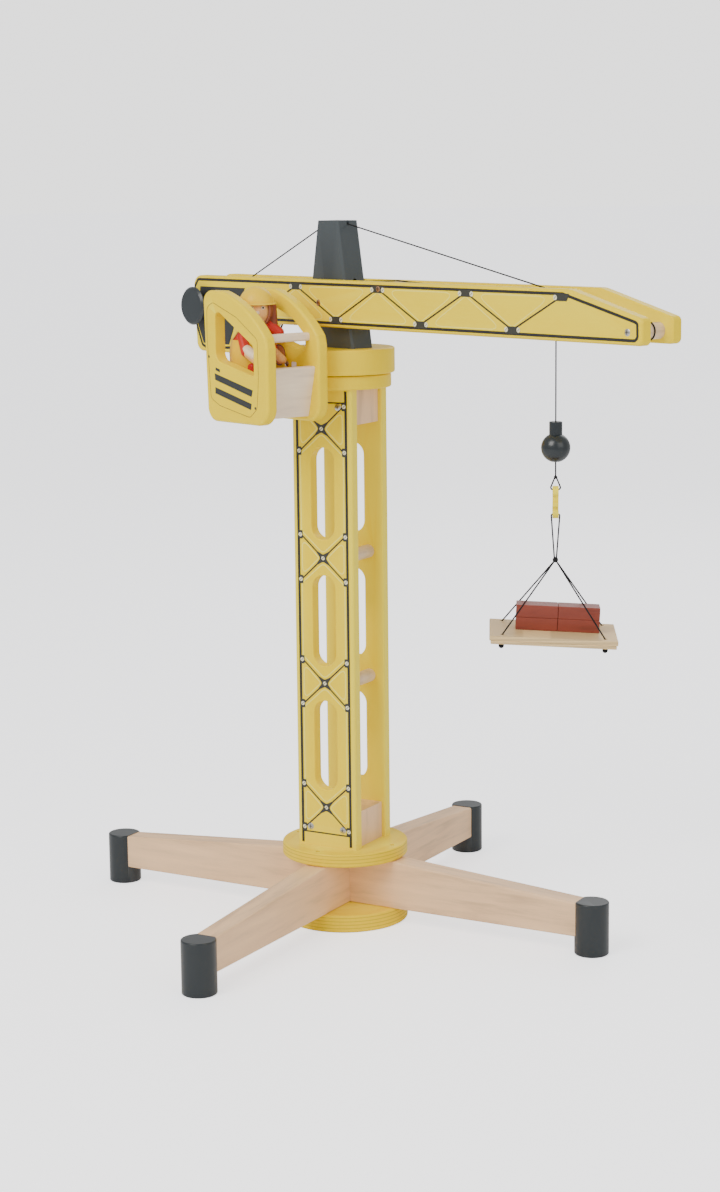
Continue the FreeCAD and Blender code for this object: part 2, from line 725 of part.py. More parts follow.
def cab_panel(y0, y1, window):
    panel = Part.Face(cab_wire(y0)).extrude(V(0, y1 - y0, 0))
    panel = soften(panel, 2.4, lambda e: in_plane(y0, "y")(e) or in_plane(y1, "y")(e))
    panel = panel.cut(plate(window, y0 - 1, y1 + 1))

    def on_window(edge):
        box_of = edge.BoundBox
        flat = in_plane(y0, "y")(edge) or in_plane(y1, "y")(edge)
        return flat and -26 < box_of.XMin and box_of.XMax < 25 and 458 < box_of.ZMin and box_of.ZMax < 512

    return soften(panel, 0.8, on_window)


def prism(side, y0, y1):
    points = [V(x, y0, z) for x, z in side]
    return Part.Face(Part.makePolygon(points + points[:1])).extrude(V(0, y1 - y0, 0))


def make_cab():
    far_in = CAB_FAR - CAB_PANEL
    near_in = far_in - CAB_INSIDE
    near_out = near_in - CAB_PANEL
    screw = (V(0.5, far_in, 465.5), V(0, 1, 0), 2.4, 26.0)
    save("cab_panel_near", cab_panel(near_out, near_in, NEAR_WINDOW))
    save("cab_panel_far", cut_for(cab_panel(far_in, CAB_FAR, FAR_WINDOW), [screw]))
    save("turntable", turntable(screw))
    save("cab_screw", cross_recessed(screw))
    front = prism([(36.6, 465.3), (27.4, 425.5), (18.4, 425.5), (27.4, 465.3)], near_in, far_in)
    save("cab_front_board", soften(front, 1.5, lambda e: e.BoundBox.YLength > 30))
    floor = box((-35.5, 18.0), (near_in, far_in), (425.5, 433.5))
    save("cab_floor", soften(floor, 1.0, lambda e: e.BoundBox.YLength > 30))
    rail = box((21.5, 30.0), (near_in, far_in), (484.8, 491.3))
    save("cab_rail", soften(rail, 2.2, lambda e: e.BoundBox.YLength > 30))
    seat = box((-35.0, -3.0), (near_in + 6, far_in - 6), (433.5, SEAT_TOP))
    save("cab_seat", soften(seat, 1.5, lambda e: e.BoundBox.YLength > 20))


def limb(start, end, radius):
    return rod(radius, start, end).fuse([Part.makeSphere(radius, start), Part.makeSphere(radius, end)])


def make_driver():
    """A peg doll sitting on the block: legs, torso, arms, head, scarf and helmet."""
    y = (CAB_FAR - CAB_PANEL) - CAB_INSIDE / 2
    hip_z = SEAT_TOP + 0.2
    legs = soft_box((DRIVER_X - 10, DRIVER_X + 10), (y - 10.5, y + 10.5), (hip_z, hip_z + 15), 3.0)
    for side in (-5.2, 5.2):
        knee = V(DRIVER_X + 22.5, y + side, hip_z + 5.0)
        legs = legs.fuse(limb(V(DRIVER_X + 6, y + side, hip_z + 5.0), knee, 4.6))
        legs = legs.fuse(limb(knee, V(DRIVER_X + 23, y + side, hip_z - 9.5), 4.6))
    torso_top = hip_z + 42.0
    torso = Part.makeCone(10.4, 8.4, 27.0, V(DRIVER_X, y, hip_z + 15), UP)
    torso = soften(torso, 2.5, in_plane(torso_top, "z"))
    sleeves, hands = [], []
    for side in (-1, 1):
        shoulder = V(DRIVER_X, y + side * 12.2, hip_z + 36.0)
        elbow = V(DRIVER_X + 6, y + side * 13.4, hip_z + 24.0)
        sleeve = limb(shoulder, elbow, 4.1)
        sleeves.append(sleeve.cut(torso))
        hands.append(limb(elbow, V(DRIVER_X + 19, y + side * 12.6, hip_z + 17.0), 3.4).cut(sleeve).cut(torso))
    middle = V(HEAD_X, y, HEAD_Z)
    head = Part.makeSphere(HEAD_RADIUS, middle).fuse(rod(5.0, V(HEAD_X, y, torso_top), middle))
    dome = Part.makeSphere(HELMET_RADIUS, V(HEAD_X, y, HELMET_TOP - HELMET_RADIUS))
    dome = dome.common(box((-80, 80), (y - 40, y + 40), (BRIM_Z, HELMET_TOP + 1)))
    brim = rod(HELMET_RADIUS + 1.9, V(HEAD_X, y, BRIM_Z), V(HEAD_X, y, BRIM_Z + 1.4))
    helmet = dome.fuse(brim).cut(Part.makeSphere(HEAD_RADIUS + 0.05, middle))
    scarf = Part.makeTorus(6.4, 2.2, V(HEAD_X - 1, y, torso_top + 2.3), UP)
    save("driver_legs", legs)
    save("driver_torso", torso.cut(legs))
    save("driver_sleeves", group(sleeves))
    save("driver_hands", group(hands))
    save("driver_scarf", scarf.cut(head))
    save("driver_head", head)
    save("driver_helmet", helmet)


make_base()
make_mast()
make_jib()
make_winch()
make_cords()
make_load()
make_cab()
make_driver()
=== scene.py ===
import math

import bpy
from mathutils import Matrix, Vector


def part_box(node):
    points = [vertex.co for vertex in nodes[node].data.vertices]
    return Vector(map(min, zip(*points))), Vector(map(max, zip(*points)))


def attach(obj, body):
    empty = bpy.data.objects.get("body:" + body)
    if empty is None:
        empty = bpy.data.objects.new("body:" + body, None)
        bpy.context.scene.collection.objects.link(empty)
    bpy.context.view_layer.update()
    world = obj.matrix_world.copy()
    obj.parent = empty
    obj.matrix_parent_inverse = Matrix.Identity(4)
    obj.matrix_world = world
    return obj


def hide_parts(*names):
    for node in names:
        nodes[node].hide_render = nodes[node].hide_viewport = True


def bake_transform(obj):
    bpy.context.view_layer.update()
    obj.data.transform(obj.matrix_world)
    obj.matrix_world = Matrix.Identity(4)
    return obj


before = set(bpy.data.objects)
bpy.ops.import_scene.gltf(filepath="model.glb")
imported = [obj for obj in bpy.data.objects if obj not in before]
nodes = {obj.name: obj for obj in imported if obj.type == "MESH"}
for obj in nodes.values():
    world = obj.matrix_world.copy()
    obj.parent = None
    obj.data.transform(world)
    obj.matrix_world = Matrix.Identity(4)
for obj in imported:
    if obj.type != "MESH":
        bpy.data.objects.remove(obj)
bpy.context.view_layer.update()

# Places of the CAD part, in metres
BASE_TURN = math.radians(20.5)
MAST_FACE = 0.030
MAST_NODES = (0.0995, 0.2039, 0.3073, 0.4123)
JIB_FACE = 0.021
CAB_NEAR = -0.1055
CAB_FAR_INNER = -0.0545
DRIVER_Y = -0.075
HEAD = Vector((-0.011, DRIVER_Y, 0.508))
HEAD_RADIUS = 0.0118
HANG_X = 0.24827
PALLET_TURN = math.radians(46.8)
PRINT = 0.00006           # how far each layer of print stands off the one below
THICK_LINE = 0.0023
THIN_LINE = 0.0012
OUTLINE = 0.0010
PRINT_EDGE = 0.0226       # the mast's upright lines, from its middle
CROSS_RISE = 0.0205       # how far a mast diagonal climbs from the middle to the upright line
SIDE_BOLT_X = 0.0210
SIDE_BOLT_RISE = 0.0184
JIB_UPPER = 0.5252        # where the jib's diagonals turn back, above and below
JIB_LOWER = 0.4994
JIB_LINE = 0.0013
JIB_OUTLINE = 0.0009
JIB_CELL_GAP = 0.0105
DIAL = (-0.0090, 0.4720)
DIAL_RADIUS = 0.0080
FACE_LIFT = 0.00012       # how far the eyes and the nose stand off the face

# Colours

YELLOW = (0.97, 0.70, 0.0)
YELLOW_LIGHT = (0.99, 0.80, 0.05)
YELLOW_STAIN = (0.95, 0.66, 0.0)
WOOD = (0.88, 0.57, 0.32)
PLY = (0.84, 0.60, 0.29)
GREY = (0.011, 0.016, 0.019)
INK = (0.014, 0.014, 0.011)
BRICK = (0.230, 0.038, 0.020)
RED = (0.58, 0.030, 0.020)
SKIN = (0.86, 0.47, 0.17)
HAIR = (0.26, 0.070, 0.040)
WHITE = (0.88, 0.86, 0.78)


# Materials

class Nodes:
    """A short way to build a material's node tree."""

    def __init__(self, name):
        self.material = bpy.data.materials.new(name)
        self.material.use_nodes = True
        self.tree = self.material.node_tree
        self.shader = self.tree.nodes["Principled BSDF"]

    def add(self, kind, **values):
        node = self.tree.nodes.new("ShaderNode" + kind)
        for key, value in values.items():
            if hasattr(node, key):
                setattr(node, key, value)
            else:
                node.inputs[key.replace("_", " ")].default_value = value
        return node

    def join(self, source, target):
        self.tree.links.new(source, target)

    def ramp(self, source, stops):
        ramp = self.add("ValToRGB")
        while len(ramp.color_ramp.elements) < len(stops):
            ramp.color_ramp.elements.new(0.5)
        for element, (place, colour) in zip(ramp.color_ramp.elements, stops):
            element.position = place
            element.color = (*colour, 1)
        self.join(source, ramp.inputs["Fac"])
        return ramp.outputs["Color"]

    def mix(self, factor, a, b, kind="MIX"):
        mix = self.add("Mix", data_type="RGBA", blend_type=kind)
        self.feed(factor, mix.inputs[0])
        self.feed(a, mix.inputs[6])
        self.feed(b, mix.inputs[7])
        return mix.outputs[2]

    def feed(self, value, target):
        if isinstance(value, bpy.types.NodeSocket):
            self.join(value, target)
        elif isinstance(value, tuple):
            target.default_value = (*value, 1)
        else:
            target.default_value = value

    def place(self, scale=(1, 1, 1), turn=(0, 0, 0)):
        """Object coordinates, turned and then scaled."""
        source = self.add("TexCoord")
        turned = self.add("Mapping")
        turned.inputs["Rotation"].default_value = turn
        scaled = self.add("Mapping")
        scaled.inputs["Scale"].default_value = scale
        self.join(source.outputs["Object"], turned.inputs["Vector"])
        self.join(turned.outputs["Vector"], scaled.inputs["Vector"])
        return scaled.outputs["Vector"]

    def noise(self, vector, scale, detail=3.0, roughness=0.5):
        noise = self.add("TexNoise", Scale=scale, Detail=detail, Roughness=roughness)
        self.join(vector, noise.inputs["Vector"])
        return noise.outputs["Fac"]

    def edge_highlight_mask(self, low=0.53, high=0.62):
        """1 on convex edges, 0 elsewhere; the mask of the painted edge highlight."""
        geometry = self.add("NewGeometry")
        return self.ramp(geometry.outputs["Pointiness"], [(low, (0, 0, 0)), (high, (1, 1, 1))])

    def bump(self, height, strength, distance):
        bump = self.add("Bump", Strength=strength, Distance=distance)
        self.join(height, bump.inputs["Height"])
        self.join(bump.outputs["Normal"], self.shader.inputs["Normal"])

    def finish(self, colour, roughness=0.5, metallic=0.0, coat=0.0, specular=0.5):
        self.feed(colour, self.shader.inputs["Base Color"])
        self.feed(roughness, self.shader.inputs["Roughness"])
        self.shader.inputs["Metallic"].default_value = metallic
        self.shader.inputs["Specular IOR Level"].default_value = specular
        self.shader.inputs["Coat Weight"].default_value = coat
        self.shader.inputs["Coat Roughness"].default_value = 0.12
        return self.material


def rim_sheets(n, base, dark, sheet):
    """Level dark lines on upright faces, where the edge of the plywood shows."""
    source = n.add("TexCoord")
    place = n.add("SeparateXYZ")
    n.join(source.outputs["Object"], place.inputs["Vector"])
    facing = n.add("SeparateXYZ")
    n.join(source.outputs["Normal"], facing.inputs["Vector"])
    flat = n.add("Math", operation="ABSOLUTE")
    n.join(facing.outputs["Z"], flat.inputs[0])
    upright = n.ramp(flat.outputs[0], [(0.25, (1, 1, 1)), (0.55, (0, 0, 0))])
    wave = n.add("Math", operation="MULTIPLY")
    n.join(place.outputs["Z"], wave.inputs[0])
    wave.inputs[1].default_value = 2 * math.pi / sheet
    sine = n.add("Math", operation="SINE")
    n.join(wave.outputs[0], sine.inputs[0])
    lines = n.ramp(sine.outputs[0], [(0.55, (0, 0, 0)), (0.85, (0.75, 0.75, 0.75))])
    shown = n.mix(1.0, lines, upright, "MULTIPLY")
    return n.mix(shown, base, dark)


def paint(name, colour, light, roughness=0.34, turn=(0, 0, 0), grain=(60, 60, 9), sheet=0.0):
    """Paint over plywood: a faint grain under it, a little colour drift and lighter edges, which are a
    painted highlight.
    """
    n = Nodes(name)
    fibres = n.noise(n.place(grain, turn), 14.0, 4.0, 0.65)
    drift = n.noise(n.place(), 11.0, 2.0)
    base = n.mix(n.ramp(drift, [(0.35, (0, 0, 0)), (0.7, (1, 1, 1))]), colour,
                 tuple(c * 0.93 for c in colour))
    base = n.mix(n.ramp(fibres, [(0.42, (0, 0, 0)), (0.75, (0.22, 0.22, 0.22))]), base, light)
    if sheet:
        base = rim_sheets(n, base, tuple(c * 0.62 for c in colour), sheet)
    # Convex edges take the lighter colour: a painted highlight along the edges.
    base = n.mix(n.edge_highlight_mask(), base, light)
    rough = n.add("MapRange", To_Min=roughness - 0.05, To_Max=roughness + 0.08)
    n.join(fibres, rough.inputs["Value"])
    n.bump(fibres, 0.05, 0.0003)
    return n.finish(base, rough.outputs["Result"], specular=0.22)


def lacquer(name, colour, edge, roughness=0.30):
    """Thick dark lacquer: almost even, with a slight orange peel and paler edges, a painted bevel highlight.
    """
    n = Nodes(name)
    peel = n.noise(n.place((1, 1, 1)), 90.0, 2.0)
    drift = n.noise(n.place(), 14.0, 2.0)
    base = n.mix(drift, colour, tuple(c * 1.35 for c in colour))
    # The paler colour on convex edges is a painted bevel highlight.
    base = n.mix(n.edge_highlight_mask(0.52, 0.60), base, edge)
    rough = n.add("MapRange", To_Min=roughness - 0.04, To_Max=roughness + 0.06)
    n.join(drift, rough.inputs["Value"])
    n.bump(peel, 0.04, 0.0003)
    return n.finish(base, rough.outputs["Result"], coat=0.12)


def wood(name, colour, turn=(0, 0, 0), stretch=(9, 90, 90), contrast=0.5):
    """Clear-coated hardwood with long fibres and darker pores; the grain runs along x after the turn."""
    n = Nodes(name)
    vector = n.place(stretch, turn)
    rings = n.noise(vector, 1.1, 5.0, 0.6)
    pores = n.noise(n.place((stretch[0] * 4, stretch[1] * 9, stretch[2] * 9), turn), 3.0, 2.0, 0.8)
    dark = tuple(c * (1 - contrast * 0.55) for c in colour)
    light = tuple(min(1.0, c * 1.16) for c in colour)
    base = n.ramp(rings, [(0.30, dark), (0.48, colour), (0.72, light)])
    base = n.mix(n.ramp(pores, [(0.60, (0, 0, 0)), (0.74, (0.45, 0.45, 0.45))]), base, dark)
    n.bump(pores, 0.12, 0.0003)
    return n.finish(base, 0.42, coat=0.12)


def plies(name, colour, sheet=0.0014, axis=2):
    """The edge of plywood: thin level sheets, alternately light and dark, and plain wood on the faces."""
    n = Nodes(name)
    split = n.add("SeparateXYZ")
    source = n.add("TexCoord")
    n.join(source.outputs["Object"], split.inputs["Vector"])
    wave = n.add("Math", operation="MULTIPLY")
    n.join(split.outputs[axis], wave.inputs[0])
    wave.inputs[1].default_value = math.pi / sheet
    sine = n.add("Math", operation="SINE")
    n.join(wave.outputs[0], sine.inputs[0])
    bands = n.ramp(sine.outputs[0], [(0.35, tuple(c * 0.72 for c in colour)), (0.55, colour)])
    fibres = n.noise(n.place((12, 70, 12)), 6.0, 4.0)
    base = n.mix(n.ramp(fibres, [(0.40, (0, 0, 0)), (0.70, (0.5, 0.5, 0.5))]), bands,
                 tuple(c * 0.80 for c in colour))
    return n.finish(base, 0.5, coat=0.05)


def metal(name, colour, roughness=0.28):
    n = Nodes(name)
    scratches = n.noise(n.place((300, 300, 300)), 5.0, 3.0)
    rough = n.add("MapRange", To_Min=roughness - 0.08, To_Max=roughness + 0.14)
    n.join(scratches, rough.inputs["Value"])
    tone = n.mix(scratches, colour, tuple(c * 0.72 for c in colour))
    return n.finish(tone, rough.outputs["Result"], metallic=1.0)


def braid(name):
    """Black cord with a fine woven diagonal."""
    n = Nodes(name)
    wave = n.add("TexWave", Scale=1.0, Distortion=0.0)
    n.join(n.place((900, 900, 1500), (0.0, 0.6, 0.6)), wave.inputs["Vector"])
    fuzz = n.noise(n.place((1500, 1500, 1500)), 2.0)
    colour = n.ramp(wave.outputs["Fac"], [(0.2, (0.003, 0.003, 0.004)), (0.8, (0.016, 0.016, 0.018))])
    n.bump(wave.outputs["Fac"], 0.5, 0.0002)
    rough = n.add("MapRange", To_Min=0.65, To_Max=0.9)
    n.join(fuzz, rough.inputs["Value"])
    return n.finish(colour, rough.outputs["Result"], specular=0.25)


def ink(name, colour, roughness=0.45):
    n = Nodes(name)
    speck = n.noise(n.place((400, 400, 400)), 3.0)
    tone = n.mix(n.ramp(speck, [(0.45, (0, 0, 0)), (0.8, (1, 1, 1))]), colour,
                 tuple(min(1.0, c * 1.25 + 0.004) for c in colour))
    return n.finish(tone, roughness)


ALONG_BASE = (0, 0, -BASE_TURN)
ACROSS_BASE = (0, 0, -BASE_TURN - math.pi / 2)
UPRIGHT = (0, math.pi / 2, 0)
YELLOW_PAINT = paint("yellow_paint", YELLOW, YELLOW_LIGHT, grain=(9, 60, 60))
YELLOW_MAST = paint("yellow_paint_upright", YELLOW, YELLOW_LIGHT)
YELLOW_STACK = paint("yellow_paint_disc", YELLOW, YELLOW_LIGHT, grain=(14, 60, 14))
YELLOW_DISC = paint("yellow_stain_disc", YELLOW_STAIN, YELLOW_LIGHT, 0.40, grain=(14, 60, 14), sheet=0.0029)
# The third colour is the lacquer's painted bevel highlight.
GREY_PAINT = lacquer("grey_lacquer", GREY, (0.050, 0.062, 0.070))
WOOD_A = wood("hardwood_beam_a", WOOD, ALONG_BASE)
WOOD_B = wood("hardwood_beam_b", WOOD, ACROSS_BASE)
WOOD_UP = wood("hardwood_upright", WOOD, UPRIGHT)
WOOD_DOWEL = wood("hardwood_dowel", (0.77, 0.57, 0.37), (0, 0, math.pi / 2), (20, 160, 160))
WOOD_CAB = wood("hardwood_cab", (0.90, 0.72, 0.54), (0, 0, math.pi / 2), (14, 120, 120), 0.3)
PLYWOOD = plies("plywood", PLY)
STEEL = metal("zinc_steel", (0.62, 0.61, 0.58))
COPPER = metal("copper_steel", (0.60, 0.33, 0.19))
CORD = braid("black_cord")
BRICKS = wood("brick_stain", BRICK, (0, 0, -PALLET_TURN), (16, 100, 100), 0.7)
DOLL_RED = paint("doll_red", RED, (0.68, 0.07, 0.045), grain=(40, 40, 8))
DOLL_YELLOW = paint("doll_yellow", (0.92, 0.60, 0.015), (0.96, 0.72, 0.08), grain=(40, 40, 8))
DOLL_SKIN = wood("doll_face_wood", SKIN, UPRIGHT, (14, 140, 140), 0.3)
DOLL_HAIR = paint("doll_hair", HAIR, (0.42, 0.17, 0.11), roughness=0.5)
BLACK_INK = ink("black_ink", INK)
GUSSET_INK = ink("gusset_ink", (0.030, 0.031, 0.024))
LIGHT_INK = ink("light_yellow_ink", (0.97, 0.80, 0.12))
BOLT_INK = ink("bolt_ink", (0.80, 0.76, 0.52))
# White for the printed eyes and for the painted highlight in the cab.
WHITE_INK_AND_HIGHLIGHT = ink("white_ink_and_highlight", WHITE)
ORANGE_INK = ink("orange_ink", (0.62, 0.24, 0.06))
BROWN_INK = ink("brown_ink", (0.20, 0.085, 0.03))
GREY_INK = ink("grey_ink", (0.024, 0.027, 0.027))


def dress(material, *names):
    for name in names:
        nodes[name].data.materials.clear()
        nodes[name].data.materials.append(material)


dress(YELLOW_PAINT, "jib_panel_near", "jib_panel_far", "cab_panel_near", "cab_panel_far", "crane_hook")
dress(YELLOW_MAST, "mast_panel_near", "mast_panel_far")
dress(YELLOW_STACK, "turntable", "mast_top_disc")
dress(YELLOW_DISC, "base_disc_upper", "base_disc_lower")
dress(GREY_PAINT, "head_block", "winch_knob", "winch_end_cap", "ball_weight")
dress(GREY_PAINT, "foot_cap_1", "foot_cap_2", "foot_cap_3", "foot_cap_4")
dress(WOOD_A, "leg_beam_a", "foot_dowels")
dress(WOOD_B, "leg_beam_b")
dress(WOOD_UP, "mast_block_top", "mast_block_bottom")
dress(WOOD_DOWEL, "mast_dowels", "jib_tip_dowel", "jib_guide_dowel", "hoist_sheave_dowel", "jib_tail_dowel",
      "winch_axle")
dress(WOOD_CAB, "cab_front_board", "cab_floor", "cab_rail", "cab_seat")
dress(PLYWOOD, "pallet_board", "pallet_runners")
dress(STEEL, "base_disc_screws", "mast_screws", "slew_pivot", "slew_washer", "jib_tip_screws", "cab_screw")
dress(COPPER, "jib_screws")
dress(CORD, "stay_line", "hoist_line_run", "hoist_line_turns", "hook_cord", "sling")
dress(BRICKS, "brick_1", "brick_2", "brick_3", "brick_4")
dress(DOLL_RED, "driver_legs", "driver_sleeves", "driver_scarf")
dress(DOLL_YELLOW, "driver_torso", "driver_helmet")
dress(DOLL_SKIN, "driver_hands", "driver_head")


# Camera, light and floor

WORLD_LIGHT = 0.72
BACKDROP_LIFT = 1.40


def set_camera():
    data = bpy.data.cameras.new("camera")
    camera = bpy.data.objects.new("camera", data)
    bpy.context.scene.collection.objects.link(camera)
    camera.location = (1.5035, -1.2433, 0.6090)
    camera.rotation_euler = (1.39947, 0.01105, 0.87039)
    data.lens = 72.72
    data.sensor_width = 36
    data.clip_end = 50
    bpy.context.scene.camera = camera


def area_light(name, place, aim, size, power, colour=(1, 1, 1)):
    data = bpy.data.lights.new(name, "AREA")
    data.energy = power
    data.size = size
    data.color = colour
    lamp = bpy.data.objects.new(name, data)
    lamp.location = place
    lamp.rotation_euler = (Vector(aim) - Vector(place)).to_track_quat("-Z", "Y").to_euler()
    bpy.context.scene.collection.objects.link(lamp)


def set_world():
    """Soft light from all round; the camera sees it a little brighter, so that it meets the floor unseen."""
    world = bpy.data.worlds.new("studio")
    bpy.context.scene.world = world
    world.use_nodes = True
    tree = world.node_tree
    background = tree.nodes["Background"]
    background.inputs["Color"].default_value = (0.97, 0.965, 0.96, 1)
    path = tree.nodes.new("ShaderNodeLightPath")
    strength = tree.nodes.new("ShaderNodeMapRange")
    strength.inputs["To Min"].default_value = WORLD_LIGHT
    strength.inputs["To Max"].default_value = WORLD_LIGHT + BACKDROP_LIFT
    tree.links.new(path.outputs["Is Camera Ray"], strength.inputs["Value"])
    tree.links.new(strength.outputs["Result"], background.inputs["Strength"])


def set_floor():
    half = 40.0
    mesh = bpy.data.meshes.new("floor")
    corners = [(-half, -half), (half, -half), (half, half), (-half, half)]
    mesh.from_pydata([(x, y, -PRINT) for x, y in corners], [], [(0, 1, 2, 3)])
    floor = bpy.data.objects.new("floor", mesh)
    bpy.context.scene.collection.objects.link(floor)
    n = Nodes("pale_floor")
    path = n.add("LightPath")
    lift = n.add("Math", operation="MULTIPLY")
    n.join(path.outputs["Is Camera Ray"], lift.inputs[0])
    lift.inputs[1].default_value = BACKDROP_LIFT
    n.shader.inputs["Emission Color"].default_value = (0.97, 0.97, 1.0, 1)
    n.join(lift.outputs[0], n.shader.inputs["Emission Strength"])
    mesh.materials.append(n.finish((0.93, 0.935, 0.96), 0.60))


def set_studio():
    set_world()
    area_light("key", (0.3, -1.7, 1.7), (0, 0, 0.25), 1.2, 34, (1.0, 0.975, 0.93))
    area_light("side", (1.9, -0.1, 1.3), (0, 0, 0.3), 1.4, 10, (1.0, 0.985, 0.95))
    area_light("back", (-0.8, 1.8, 1.6), (0, 0, 0.3), 1.5, 10)
    set_floor()


set_camera()
set_studio()


# Mesh helpers

def mesh_object(name, points, faces, material, body, smooth=False):
    mesh = bpy.data.meshes.new(name)
    mesh.from_pydata(points, [], faces)
    mesh.update()
    piece = bpy.data.objects.new(name, mesh)
    bpy.context.scene.collection.objects.link(piece)
    mesh.materials.append(material)
    if smooth:
        mesh.shade_smooth()
    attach(piece, body)
    return piece


class Print:
    """Flat shapes printed on one face. Points are (across, up) in metres on that face."""

    def __init__(self, origin, across, out, lift=1):
        self.origin = Vector(origin)
        self.across = Vector(across)
        self.out = Vector(out)
        self.up = Vector((0, 0, 1))
        self.lift = lift
        self.points = []
        self.faces = []

    def shape(self, outline):
        start = len(self.points)
        normal_turn = self.across.cross(self.up).dot(self.out) > 0
        for u, v in outline:
            self.points.append(self.origin + self.across * u + self.up * v + self.out * (PRINT * self.lift))
        order = list(range(start, start + len(outline)))
        area = sum(a[0] * b[1] - b[0] * a[1] for a, b in zip(outline, outline[1:] + outline[:1]))
        if (area > 0) != normal_turn:
            order.reverse()
        self.faces.append(order)

    def line(self, points, width, closed=False):
        """A polyline of even width with mitred corners."""
        path = [Vector(p) for p in points]
        count = len(path)
        sides = []
        for i, here in enumerate(path):
            before = path[i - 1] if i or closed else None
            after = path[(i + 1) % count] if i + 1 < count or closed else None
            arriving = (here - before).normalized() if before is not None else (after - here).normalized()
            leaving = (after - here).normalized() if after is not None else arriving
            middle = (arriving + leaving).normalized()
            normal = Vector((-middle.y, middle.x))
            stretch = min(2.5, 1 / max(0.3, middle.dot(leaving)))
            sides.append((here + normal * width / 2 * stretch, here - normal * width / 2 * stretch))
        pairs = list(zip(sides, sides[1:] + sides[:1])) if closed else list(zip(sides, sides[1:]))
        for (a, b), (c, d) in pairs:
            self.shape([tuple(a), tuple(c), tuple(d), tuple(b)])

    def star(self, u, v, reach, rise, waist):
        """Four arms along the diagonals with hollow sides between them, as four quarters."""
        for su, sv in ((1, 1), (-1, 1), (-1, -1), (1, -1)):
            arm = [(0, 0), (waist, 0), (waist * 1.15, waist * 0.42), (reach, rise * 0.86),
                   (reach * 0.88, rise), (waist * 0.42, waist * 1.15), (0, waist)]
            self.shape([(u + su * a, v + sv * b) for a, b in arm])

    def disc(self, u, v, radius, count=20):
        steps = [i * 2 * math.pi / count for i in range(count)]
        self.shape([(u + radius * math.cos(a), v + radius * math.sin(a)) for a in steps])

    def arc(self, u, v, radius, first, last, width, count=24):
        steps = [math.radians(first + (last - first) * i / count) for i in range(count + 1)]
        self.line([(u + radius * math.cos(a), v + radius * math.sin(a)) for a in steps], width)

    def make(self, name, material, body):
        return mesh_object(name, self.points, self.faces, material, body)


def rounded(corners, radius, steps=6):
    """A closed outline with each corner rounded."""
    outline = []
    count = len(corners)
    for i, corner in enumerate(corners):
        here = Vector(corner)
        before = (Vector(corners[i - 1]) - here).normalized()
        after = (Vector(corners[(i + 1) % count]) - here).normalized()
        half = before.angle(after) / 2
        cut = min(radius / math.tan(half), (Vector(corners[i - 1]) - here).length * 0.45,
                  (Vector(corners[(i + 1) % count]) - here).length * 0.45)
        for k in range(steps + 1):
            t = k / steps
            a, b = here + before * cut, here + after * cut
            outline.append(tuple((a * (1 - t) ** 2) + here * 2 * t * (1 - t) + b * t ** 2))
    return outline


# Printed lattice of the mast

def mast_prints(side, name):
    turn = Matrix.Rotation(BASE_TURN, 3, "Z")
    across = turn @ Vector((1, 0, 0))
    out = turn @ Vector((0, side, 0))
    origin = out * MAST_FACE
    dark = Print(origin, across, out, 2)
    light = Print(origin, across, out, 1)
    gusset = Print(origin, across, out, 3)
    bolt = Print(origin, across, out, 4)
    slots = Print(origin, across, out, 5)
    for x in (-PRINT_EDGE, PRINT_EDGE):
        dark.line([(x, 0.068), (x, 0.443)], THICK_LINE)
    for z in (0.0774, 0.4335):
        dark.line([(-PRINT_EDGE, z), (PRINT_EDGE, z)], 0.0011)
    for z in MAST_NODES:
        for sign in (-1, 1):
            rise = sign * CROSS_RISE
            dark.line([(-PRINT_EDGE, z - rise), (0, z), (PRINT_EDGE, z + rise)], THIN_LINE)
        gusset.star(0, z, 0.0064, 0.0058, 0.0031)
        bolt.disc(0, z, 0.0016)
        slots.line([(-0.0011, z - 0.0010), (0.0011, z + 0.0010)], 0.0005)
        for x in (-SIDE_BOLT_X, SIDE_BOLT_X):
            for dz in (-SIDE_BOLT_RISE, SIDE_BOLT_RISE):
                if z + dz < 0.438:
                    left, right = x - 0.0022, x + 0.0022
                    low, high = z + dz - 0.0035, z + dz + 0.0035
                    corners = [(left, low), (right, low), (right, high), (left, high)]
                    gusset.shape(rounded(corners, 0.001))
                    bolt.disc(x, z + dz, 0.0017, 14)
                    slots.line([(x - 0.0009, z + dz - 0.0009), (x + 0.0009, z + dz + 0.0009)], 0.0004)
        for sign in (-1, 1):
            side_cell = [(sign * 0.0195, z - 0.0150), (sign * 0.0195, z + 0.0150),
                         (sign * 0.0045, z + 0.0008), (sign * 0.0045, z - 0.0008)]
            light.line(rounded(side_cell, 0.0035), OUTLINE, True)
    for low, high in zip(MAST_NODES, MAST_NODES[1:]):
        cell = [(-0.0200, low + 0.0215), (0, low + 0.0040), (0.0200, low + 0.0215),
                (0.0200, high - 0.0215), (0, high - 0.0040), (-0.0200, high - 0.0215)]
        light.line(rounded(cell, 0.0045), OUTLINE, True)
    light.make(name + "_light", LIGHT_INK, "base")
    dark.make(name + "_lines", BLACK_INK, "base")
    gusset.make(name + "_gussets", GUSSET_INK, "base")
    bolt.make(name + "_bolts", BOLT_INK, "base")
    slots.make(name + "_bolt_slots", BLACK_INK, "base")


# Printed lattice and counterweight of the jib

